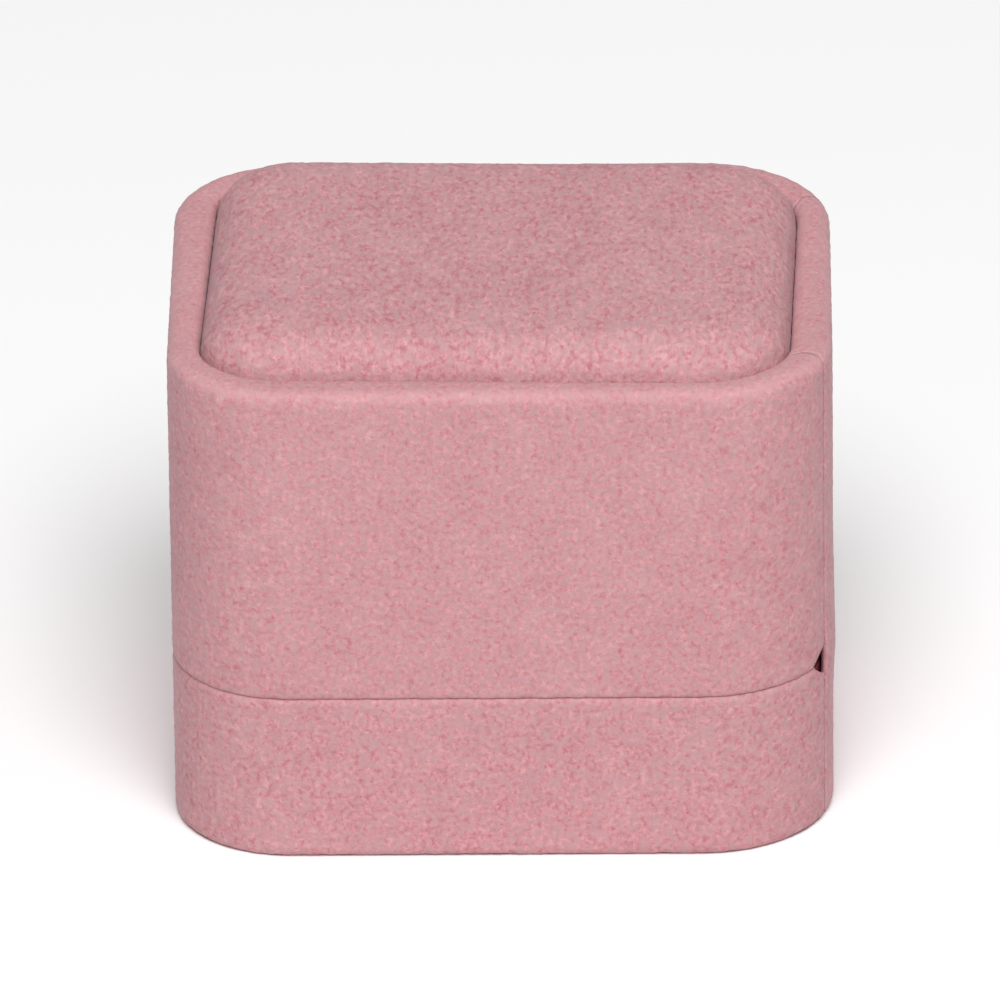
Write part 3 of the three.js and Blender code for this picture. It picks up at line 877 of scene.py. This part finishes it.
def lining_form(low, high, inset):
    """A satin strip round the lid's inside, its ends meeting at the middle of the hinge side."""
    section = draw_section(inset, low.z, (-1, 0, 0), WEAVE)
    section.ahead(LINING - LINING_EDGE)
    section.turn(LINING_EDGE, -HALF_TURN)
    section.ahead(high.z - low.z - 2 * LINING_EDGE)
    section.turn(LINING_EDGE, -HALF_TURN)
    section.ahead(LINING - LINING_EDGE)
    mesh = section.mesh
    corner = Vector((HALF_WIDTH - HINGE_CORNER, BACK - HINGE_CORNER, 0))
    half = HALF_WIDTH - HINGE_CORNER
    side = BACK - FRONT - HINGE_CORNER - FRONT_CORNER
    turn_back = Matrix.Rotation(pi / 2, 3, "Z")
    bmesh.ops.rotate(mesh, verts=mesh.verts, cent=corner, matrix=turn_back)
    bmesh.ops.translate(mesh, vec=(SEAM_PLAY - half, 0, 0), verts=mesh.verts)
    start = Vector((SEAM_PLAY, BACK, 0))
    way = Drawing(mesh, mesh.verts[:] + mesh.edges[:], start, (1, 0, 0), UP, WEAVE)
    way.ahead(half - SEAM_PLAY).turn(HINGE_CORNER, -HALF_TURN).ahead(side)
    way.turn(FRONT_CORNER, -HALF_TURN).ahead(2 * (HALF_WIDTH - FRONT_CORNER))
    way.turn(FRONT_CORNER, -HALF_TURN).ahead(side)
    way.turn(HINGE_CORNER, -HALF_TURN).ahead(half - SEAM_PLAY)
    face_outwards(mesh)
    bmesh.ops.reverse_faces(mesh, faces=mesh.faces[:])
    mesh.normal_update()
    for vert in mesh.verts:
        vert.co += vert.normal * noise.noise(vert.co * LINING_PLEATS) * LINING_WAVE
    return mesh


def make_side_lining():
    low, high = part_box("lid_side_lining")
    inset = HALF_WIDTH - high.x
    form = lining_form(low, high, inset)
    lining = finish_piece("side_lining", form, satin("side_lining_satin", 8))
    thicken(lining, SATIN)
    cover(lining, ["lid_side_lining"], "lid")


CEILING_REACH = 3.0 * MM
CEILING_RISE = 1.4 * MM
CEILING_SWELL = 0.25 * MM
CEILING_GLUED = 0.3 * MM
CEILING_VOXEL = 0.6 * MM


def make_ceiling():
    """The satin pad under the lid's top, made crown up and turned over."""
    low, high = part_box("lid_ceiling_satin")
    corners = corners_at(HALF_WIDTH - high.x)
    top = high - CEILING_SWELL * UP
    form = crowned_block(low, top, corners, CEILING_REACH, CEILING_RISE, SIM_SCALE)
    held = low.z + CEILING_GLUED
    finish = satin("ceiling_satin", 9)
    ceiling = padded_cover("ceiling_pad", finish, form, held, CEILING_SWELL, CEILING_VOXEL)
    turn_over(ceiling, low, high)
    cover(ceiling, ["lid_ceiling_satin", "lid_ceiling_foam"], "lid")


SPRING_LEAF = 0.25 * MM
SPRING_TAB = 0.8 * MM
SPRING_BEND = radians(32)
SPRING_ROUND = 0.8 * MM


def make_snap_spring():
    """The bowed leaf over the hinge, with a flat tab at each end."""
    low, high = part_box("snap_spring")
    start = Vector((low.x, high.y - SPRING_LEAF / 2, low.z))
    mesh = bmesh.new()
    way = Drawing(mesh, [mesh.verts.new(start)], start, UP, (1, 0, 0), 0.15 * MM)
    bow = (high.z - low.z - 2 * SPRING_TAB) / (2 * sin(SPRING_BEND)) - SPRING_ROUND
    way.ahead(SPRING_TAB).turn(SPRING_ROUND, SPRING_BEND).turn(bow, -2 * SPRING_BEND)
    way.turn(SPRING_ROUND, SPRING_BEND).ahead(SPRING_TAB)
    width = Drawing(mesh, mesh.verts[:] + mesh.edges[:], start, (1, 0, 0), UP, 0.5 * MM)
    width.ahead(high.x - low.x)
    bmesh.ops.recalc_face_normals(mesh, faces=mesh.faces)
    spring = finish_piece("snap_spring_leaf", mesh, rolled_steel("spring_finish"))
    leaf = spring.modifiers.new("leaf", "SOLIDIFY")
    leaf.thickness = SPRING_LEAF
    leaf.offset = 0
    apply_modifiers(spring)
    ends = [(0, high.y, HINGE.z + side * bow * sin(SPRING_BEND)) for side in (-1, 1)]
    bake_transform(spring, "base", "lid", start=ends[0], end=ends[1])
    cover(spring, ["snap_spring"], None)


FOOT_BOARD_EDGE = 0.35 * MM
FOOT_BOARD_VOXEL = 0.3 * MM


def make_foot():
    """The flocked board under the base, its lower edge eased."""
    low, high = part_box("foot_pad")
    corners = corners_at(HALF_WIDTH - high.x)
    form = crowned_block(low, high, corners, FOOT_BOARD_EDGE, FOOT_BOARD_EDGE, SIM_SCALE)
    foot = finish_piece("foot_board", form, flock("foot_flock_finish"))
    remesh(foot, FOOT_BOARD_VOXEL * SIM_SCALE)
    bring_to_size(foot)
    turn_over(foot, low, high)
    cover(foot, ["foot_pad"], "base")


def dress_frame():
    """Gives the frame's own nodes their finishes."""
    plastic = moulded_plastic("shell_plastic_finish")
    board = grey_board("board_finish")
    steel = rolled_steel("steel_finish")
    finishes = {
        "base_shell": plastic,
        "lid_shell": plastic,
        "insert_tray": board,
        "deck_board": board,
        "top_panel_board": board,
        "lid_ceiling_board": board,
    }
    for name, node in frame["nodes"].items():
        finish = finishes.get(name, steel)
        node.data.materials.clear()
        node.data.materials.append(finish)


# ---------- Stage ----------


def add_area_light(name, at, aim, size, power):
    light = bpy.data.lights.new(name, "AREA")
    light.shape = "DISK"
    light.size = size
    light.energy = power
    lamp = bpy.data.objects.new(name, light)
    bpy.context.collection.objects.link(lamp)
    lamp.location = at
    lamp.rotation_euler = (Vector(aim) - Vector(at)).to_track_quat("-Z", "Y").to_euler()


KEY_DISTANCE = 2.0
KEY_SIZE = 1.4
KEY_POWER = 41.8
WORLD_STRENGTH = 0.24
FLOOR_HALF = 3
FLOOR_WHITE = 0.97


def turned_to(azimuth, elevation):
    """The direction from the box towards a viewer there; 0 stands in front, 90 at the right."""
    level = cos(elevation)
    return Vector((sin(azimuth) * level, -cos(azimuth) * level, sin(elevation)))


def set_stage():
    scene = bpy.context.scene
    scene.view_settings.view_transform = "Standard"
    world = bpy.data.worlds.new("studio")
    world.use_nodes = True
    world.node_tree.nodes["Background"].inputs["Color"].default_value = (1, 1, 1, 1)
    world.node_tree.nodes["Background"].inputs["Strength"].default_value = WORLD_STRENGTH
    scene.world = world

    mesh = bmesh.new()
    bmesh.ops.create_grid(mesh, x_segments=1, y_segments=1, size=FLOOR_HALF)
    floor_finish = Finish("floor_finish", Roughness=0.9, Specular_IOR_Level=0.1)
    floor_finish.shader.inputs["Base Color"].default_value = (*[FLOOR_WHITE] * 3, 1)
    floor = finish_piece("floor", mesh, floor_finish.material, smooth=False)

    key_place = turned_to(radians(95), radians(58)) * KEY_DISTANCE
    add_area_light("key", key_place, (0, 0, RIM / 2), KEY_SIZE, KEY_POWER)


VIEW_AZIMUTH = radians(90.73)
VIEW_ELEVATION = radians(26)
VIEW_ROLL = radians(0.66)
VIEW_DISTANCE = 1.584
VIEW_LENS = 624
AIM_RIGHT = -0.29 * MM  # off the middle of the box, to frame it
AIM_UP = 0.49 * MM


def place_camera():
    data = bpy.data.cameras.new("camera")
    data.lens = VIEW_LENS
    data.sensor_width = 36
    data.clip_start = 0.01
    camera = bpy.data.objects.new("camera", data)
    bpy.context.collection.objects.link(camera)
    bpy.context.scene.camera = camera
    back = turned_to(VIEW_AZIMUTH, VIEW_ELEVATION)
    right = Vector((cos(VIEW_AZIMUTH), sin(VIEW_AZIMUTH), 0))
    up = back.cross(right)
    aim = Vector((0, 0, RIM / 2)) + right * AIM_RIGHT + up * AIM_UP
    across = right * cos(VIEW_ROLL) - up * sin(VIEW_ROLL)
    above = right * sin(VIEW_ROLL) + up * cos(VIEW_ROLL)
    turn = Matrix((across, above, back)).transposed().to_4x4()
    camera.matrix_world = Matrix.Translation(aim + back * VIEW_DISTANCE) @ turn


place_camera()
set_stage()
dress_frame()
make_covers()
make_top_panel()
make_ring_bars(make_deck())
make_side_lining()
make_ceiling()
make_snap_spring()
make_foot()
